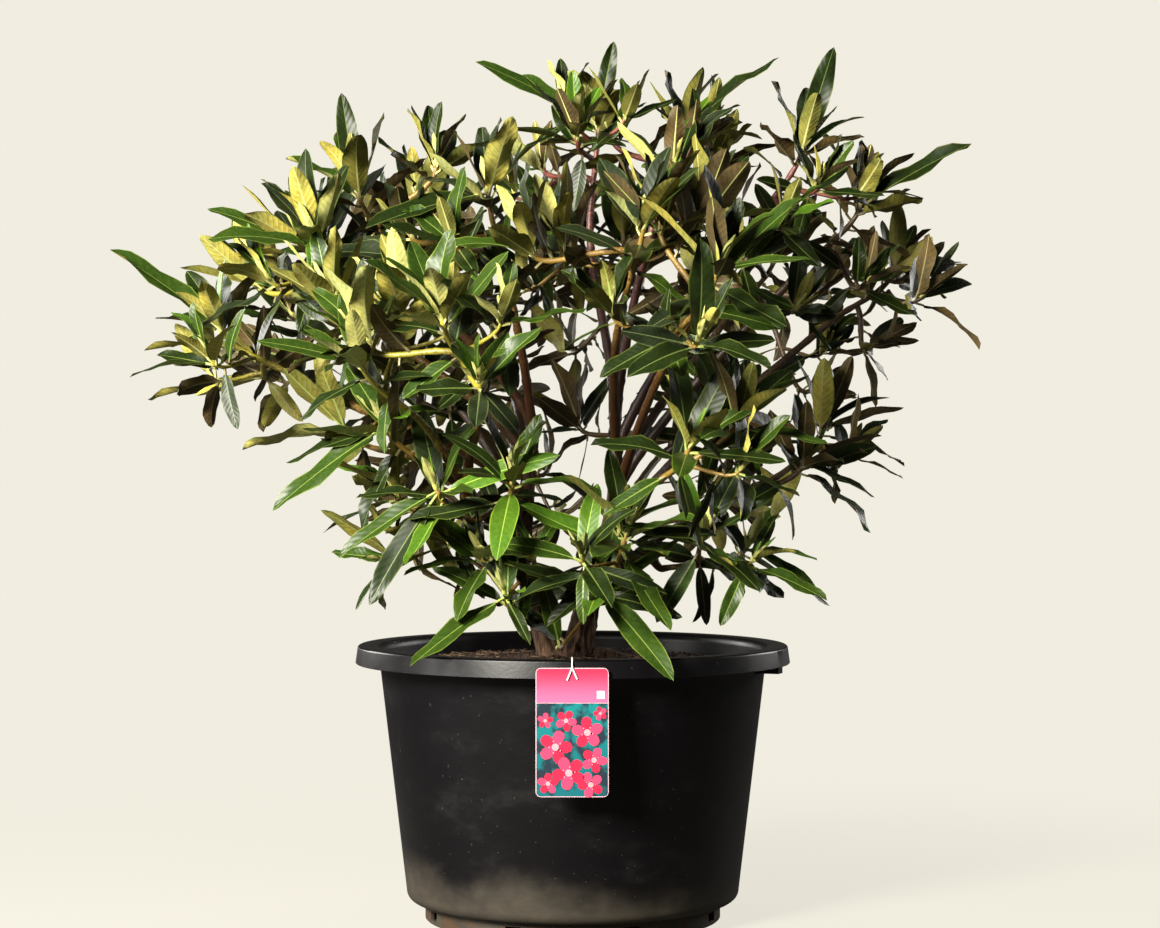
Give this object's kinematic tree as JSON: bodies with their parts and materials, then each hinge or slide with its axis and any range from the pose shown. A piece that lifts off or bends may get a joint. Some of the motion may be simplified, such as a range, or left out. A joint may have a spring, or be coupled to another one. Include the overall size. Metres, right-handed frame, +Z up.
{
  "type": "potted rhododendron",
  "caption": "Broadleaf evergreen shrub with forked woody stems, in a round black nursery pot filled with potting mix, with a picture label hung on the rim.",
  "frame": {"origin": "centre of the pot's flat underside", "axes": "+Z up along the pot's axis, -Y towards the side with the label, +X to the right as the label is read"},
  "size_m": [0.8454, 0.7195, 0.8608],
  "materials": {
    "pot_plastic": "satin black moulded plastic, dusty towards the foot",
    "potting_mix": "moist dark crumbly potting mix with fibres",
    "label_face": "printed pink and teal card of thin plastic",
    "tie_white": "white coated wire",
    "bark": "rough brown bark, smoother and redder on young limbs",
    "foliage": "leathery green leaves with paler undersides on green twigs"
  },
  "bodies": {
    "root": {"bough_back_high_1": "bark", "bough_back_high_2": "bark", "bough_back_high_3": "bark", "bough_back_high_4": "bark", "bough_back_low_1": "bark", "bough_back_low_2": "bark", "bough_centre_front": "bark", "bough_centre_left_front": "bark", "bough_centre_left_top": "bark", "bough_far_left": "bark", "bough_far_right": "bark", "bough_left_front": "bark", "bough_left_low": "bark", "bough_left_shoulder": "bark", "bough_right_front": "bark", "bough_right_low": "bark", "bough_right_low_front": "bark", "bough_right_middle": "bark", "bough_right_top": "bark", "bough_right_upper": "bark", "bough_top_centre": "bark", "bough_top_right_centre": "bark", "bough_upper_left": "bark", "centre_stem": "bark", "foliage_back_high_1": "foliage", "foliage_back_high_2": "foliage", "foliage_back_high_3": "foliage", "foliage_back_high_4": "foliage", "foliage_back_low_1": "foliage", "foliage_back_low_2": "foliage", "foliage_centre_front": "foliage", "foliage_centre_left_front": "foliage", "foliage_centre_left_top": "foliage", "foliage_far_left": "foliage", "foliage_far_right": "foliage", "foliage_left_front": "foliage", "foliage_left_low": "foliage", "foliage_left_low_inner": "foliage", "foliage_left_shoulder": "foliage", "foliage_low_centre": "foliage", "foliage_low_left": "foliage", "foliage_right_front": "foliage", "foliage_right_low": "foliage", "foliage_right_low_front": "foliage", "foliage_right_middle": "foliage", "foliage_right_top": "foliage", "foliage_right_upper": "foliage", "foliage_top_centre": "foliage", "foliage_top_right_centre": "foliage", "foliage_upper_left": "foliage", "label_tie": "tie_white", "left_limb": "bark", "left_stem": "bark", "plant_label": "label_face", "pot": "pot_plastic", "potting_mix": "potting_mix", "trunk": "bark"}
  },
  "joints": []
}
